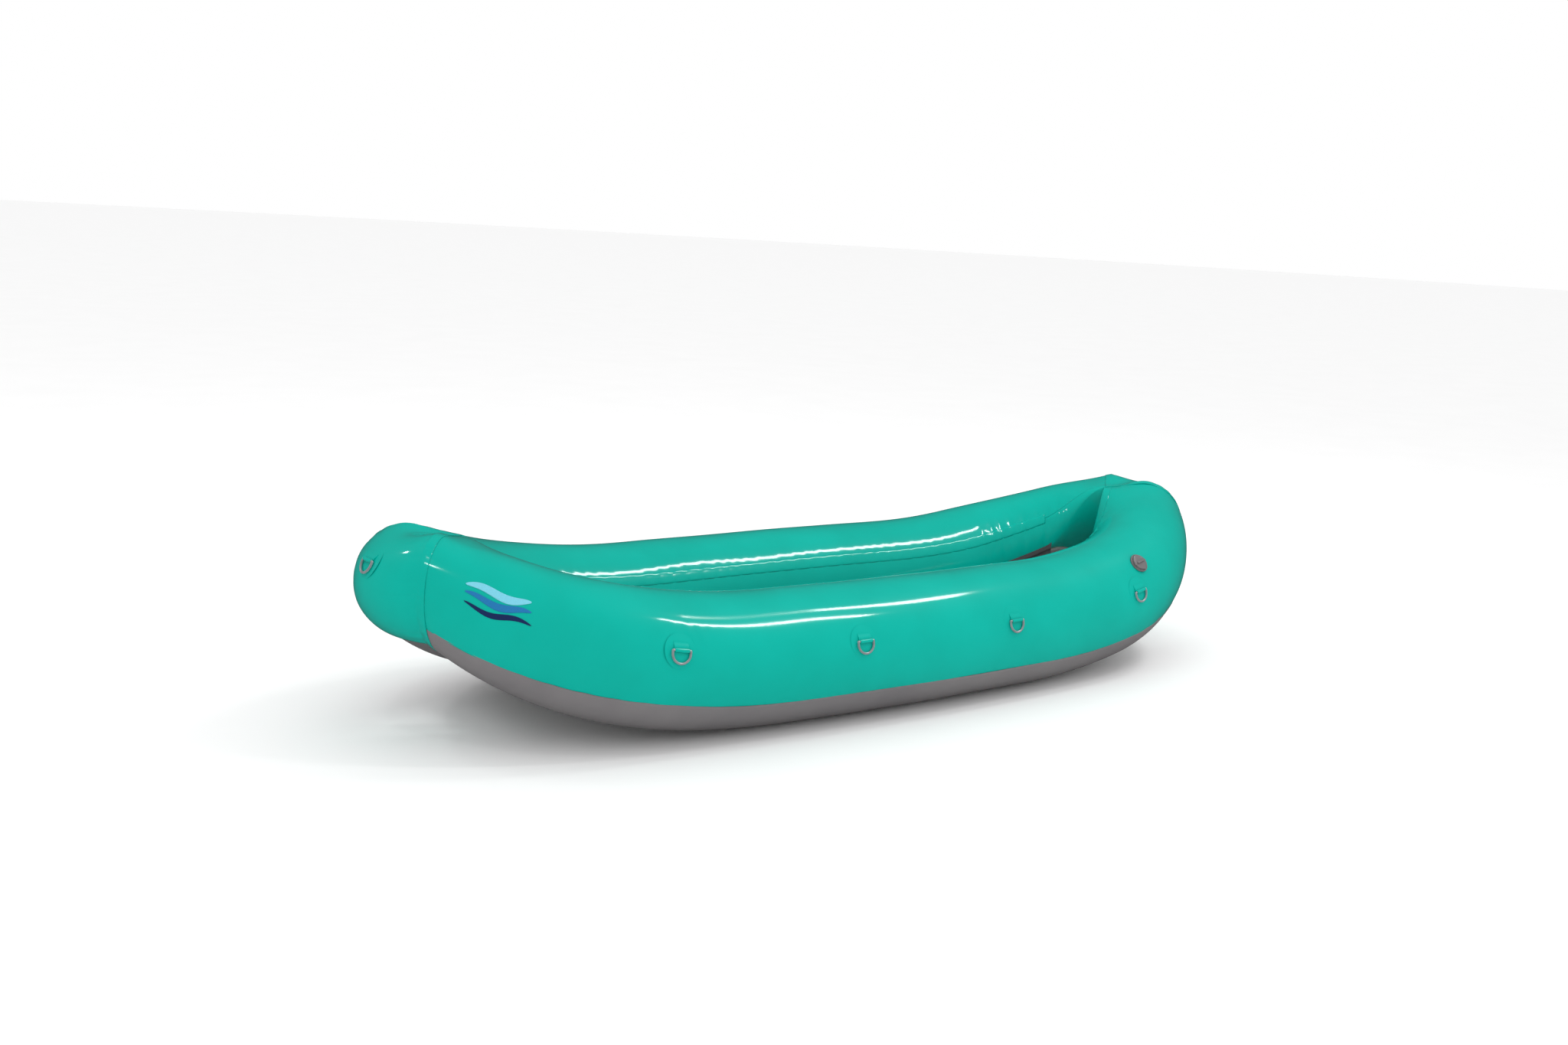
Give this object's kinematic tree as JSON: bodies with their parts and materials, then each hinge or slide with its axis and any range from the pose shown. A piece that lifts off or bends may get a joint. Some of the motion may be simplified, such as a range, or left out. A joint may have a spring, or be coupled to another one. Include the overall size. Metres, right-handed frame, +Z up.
{
  "type": "inflatable kayak",
  "caption": "Inflatable boat hull of two bent side tubes meeting in raised blunt ends, with a self-draining air floor, valves, zippers and D-rings.",
  "frame": {"origin": "centre of the footprint on the surface that the hull rests on", "axes": "+X towards the stern, -Y port, +Z up"},
  "size_m": [2.562, 0.951, 0.4733],
  "materials": {
    "teal_fabric": "gloss",
    "grey_fabric": "satin",
    "clear_film": "satin",
    "stainless": "polished",
    "seal_rubber": "matte",
    "zip_tape": "matte",
    "zip_metal": "satin",
    "pull_plastic": "matte",
    "valve_plastic": "satin"
  },
  "bodies": {
    "hull": {"port_cover": "teal_fabric", "starboard_cover": "teal_fabric", "port_inner_panel": "teal_fabric", "starboard_inner_panel": "teal_fabric", "port_wrap": "grey_fabric", "starboard_wrap": "grey_fabric", "port_seam_strip": "teal_fabric", "starboard_seam_strip": "teal_fabric", "bow_cap": "teal_fabric", "stern_cap": "teal_fabric", "port_bladder": "clear_film", "starboard_bladder": "clear_film", "floor_cover": "grey_fabric", "floor_bladder": "clear_film", "port_floor_flange": "grey_fabric", "starboard_floor_flange": "grey_fabric", "drain_grommets": "stainless", "port_zipper": "zip_tape", "starboard_zipper": "zip_tape", "floor_zipper": "zip_tape", "port_valve_body": "valve_plastic", "port_valve_nut": "valve_plastic", "port_valve_spring": "stainless", "starboard_valve_body": "valve_plastic", "starboard_valve_nut": "valve_plastic", "starboard_valve_spring": "stainless", "floor_valve_body": "valve_plastic", "floor_valve_nut": "valve_plastic", "floor_valve_spring": "stainless", "port_ring_mounts": "teal_fabric", "starboard_ring_mounts": "teal_fabric", "bow_ring_mount": "teal_fabric", "stern_ring_mount": "teal_fabric"},
    "port_ring_1": {"port_ring_1": "stainless"},
    "port_ring_2": {"port_ring_2": "stainless"},
    "port_ring_3": {"port_ring_3": "stainless"},
    "port_ring_4": {"port_ring_4": "stainless"},
    "starboard_ring_1": {"starboard_ring_1": "stainless"},
    "starboard_ring_2": {"starboard_ring_2": "stainless"},
    "starboard_ring_3": {"starboard_ring_3": "stainless"},
    "starboard_ring_4": {"starboard_ring_4": "stainless"},
    "bow_ring": {"bow_ring": "stainless"},
    "stern_ring": {"stern_ring": "stainless"},
    "port_valve_cap": {"port_valve_cap": "valve_plastic", "port_valve_seal": "seal_rubber"},
    "port_valve_poppet": {"port_valve_poppet": "valve_plastic"},
    "starboard_valve_cap": {"starboard_valve_cap": "valve_plastic", "starboard_valve_seal": "seal_rubber"},
    "starboard_valve_poppet": {"starboard_valve_poppet": "valve_plastic"},
    "floor_valve_cap": {"floor_valve_cap": "valve_plastic", "floor_valve_seal": "seal_rubber"},
    "floor_valve_poppet": {"floor_valve_poppet": "valve_plastic"},
    "port_zip_slider": {"port_zip_slider": "zip_metal"},
    "port_zip_pull": {"port_zip_pull": "pull_plastic"},
    "starboard_zip_slider": {"starboard_zip_slider": "zip_metal"},
    "starboard_zip_pull": {"starboard_zip_pull": "pull_plastic"},
    "floor_zip_slider": {"floor_zip_slider": "zip_metal"},
    "floor_zip_pull": {"floor_zip_pull": "pull_plastic"}
  },
  "joints": [
    {"name": "port_ring_1_swing", "type": "hinge", "parent": "hull", "child": "port_ring_1", "pos_m": [-0.73922, -0.43428, 0.2418], "axis": [-0.9803, 0.1126, 0.1624], "range_deg": [0, 150]},
    {"name": "port_ring_2_swing", "type": "hinge", "parent": "hull", "child": "port_ring_2", "pos_m": [-0.24569, -0.46661, 0.21679], "axis": [-0.9995, 0.0303, 0], "range_deg": [0, 150]},
    {"name": "port_ring_3_swing", "type": "hinge", "parent": "hull", "child": "port_ring_3", "pos_m": [0.24569, -0.46661, 0.21679], "axis": [-0.9995, -0.0303, 0], "range_deg": [0, 150]},
    {"name": "port_ring_4_swing", "type": "hinge", "parent": "hull", "child": "port_ring_4", "pos_m": [0.73922, -0.43428, 0.2418], "axis": [-0.9803, -0.1126, -0.1624], "range_deg": [0, 150]},
    {"name": "starboard_ring_1_swing", "type": "hinge", "parent": "hull", "child": "starboard_ring_1", "pos_m": [-0.73922, 0.43428, 0.2418], "axis": [0.9803, 0.1126, -0.1624], "range_deg": [0, 150]},
    {"name": "starboard_ring_2_swing", "type": "hinge", "parent": "hull", "child": "starboard_ring_2", "pos_m": [-0.24569, 0.46661, 0.21679], "axis": [0.9995, 0.0303, 0], "range_deg": [0, 150]},
    {"name": "starboard_ring_3_swing", "type": "hinge", "parent": "hull", "child": "starboard_ring_3", "pos_m": [0.24569, 0.46661, 0.21679], "axis": [0.9995, -0.0303, 0], "range_deg": [0, 150]},
    {"name": "starboard_ring_4_swing", "type": "hinge", "parent": "hull", "child": "starboard_ring_4", "pos_m": [0.73922, 0.43428, 0.2418], "axis": [0.9803, -0.1126, 0.1624], "range_deg": [0, 150]},
    {"name": "bow_ring_swing", "type": "hinge", "parent": "hull", "child": "bow_ring", "pos_m": [-1.26592, 0, 0.40038], "axis": [0, 1, 0], "range_deg": [0, 150]},
    {"name": "stern_ring_swing", "type": "hinge", "parent": "hull", "child": "stern_ring", "pos_m": [1.26592, 0, 0.40038], "axis": [0, -1, 0], "range_deg": [0, 150]},
    {"name": "port_valve_cap_turn", "type": "hinge", "parent": "hull", "child": "port_valve_cap", "pos_m": [0.77505, -0.38865, 0.30685], "axis": [-0.0103, -0.7188, 0.6951], "range_deg": [0, 90]},
    {"name": "port_valve_poppet_press", "type": "slide", "parent": "hull", "child": "port_valve_poppet", "axis": [0.0103, 0.7188, -0.6951], "range_m": [0, 0.007], "stiffness_N_per_m": 300, "springref_m": -0.004, "deforming": ["port_valve_spring"]},
    {"name": "starboard_valve_cap_turn", "type": "hinge", "parent": "hull", "child": "starboard_valve_cap", "pos_m": [0.77505, 0.38865, 0.30685], "axis": [-0.0103, 0.7188, 0.6951], "range_deg": [0, 90]},
    {"name": "starboard_valve_poppet_press", "type": "slide", "parent": "hull", "child": "starboard_valve_poppet", "axis": [0.0103, -0.7188, -0.6951], "range_m": [0, 0.007], "stiffness_N_per_m": 300, "springref_m": -0.004, "deforming": ["starboard_valve_spring"]},
    {"name": "floor_valve_cap_turn", "type": "hinge", "parent": "hull", "child": "floor_valve_cap", "pos_m": [0.25, 0, 0.099], "axis": [0, 0, 1], "range_deg": [0, 90]},
    {"name": "floor_valve_poppet_press", "type": "slide", "parent": "hull", "child": "floor_valve_poppet", "axis": [0, 0, -1], "range_m": [0, 0.007], "stiffness_N_per_m": 300, "springref_m": -0.004, "deforming": ["floor_valve_spring"]},
    {"name": "port_zip_slide", "type": "slide", "parent": "hull", "child": "port_zip_slider", "axis": [0.9996, 0.0295, 0], "range_m": [0, 0.15]},
    {"name": "port_zip_pull_flip", "type": "hinge", "parent": "port_zip_slider", "child": "port_zip_pull", "pos_m": [0.15653, -0.14043, 0.15398], "axis": [-0.0007, 0.0349, 0.9994], "range_deg": [0, 150]},
    {"name": "starboard_zip_slide", "type": "slide", "parent": "hull", "child": "starboard_zip_slider", "axis": [0.9996, -0.0295, 0], "range_m": [0, 0.15]},
    {"name": "starboard_zip_pull_flip", "type": "hinge", "parent": "starboard_zip_slider", "child": "starboard_zip_pull", "pos_m": [0.15653, 0.14043, 0.15398], "axis": [0.0007, 0.0349, -0.9994], "range_deg": [0, 150]},
    {"name": "floor_zip_slide", "type": "slide", "parent": "hull", "child": "floor_zip_slider", "axis": [1, 0, 0], "range_m": [0, 0.15]},
    {"name": "floor_zip_pull_flip", "type": "hinge", "parent": "floor_zip_slider", "child": "floor_zip_pull", "pos_m": [-0.16, -0.06, 0.1074], "axis": [0, -1, 0], "range_deg": [0, 150]}
  ]
}
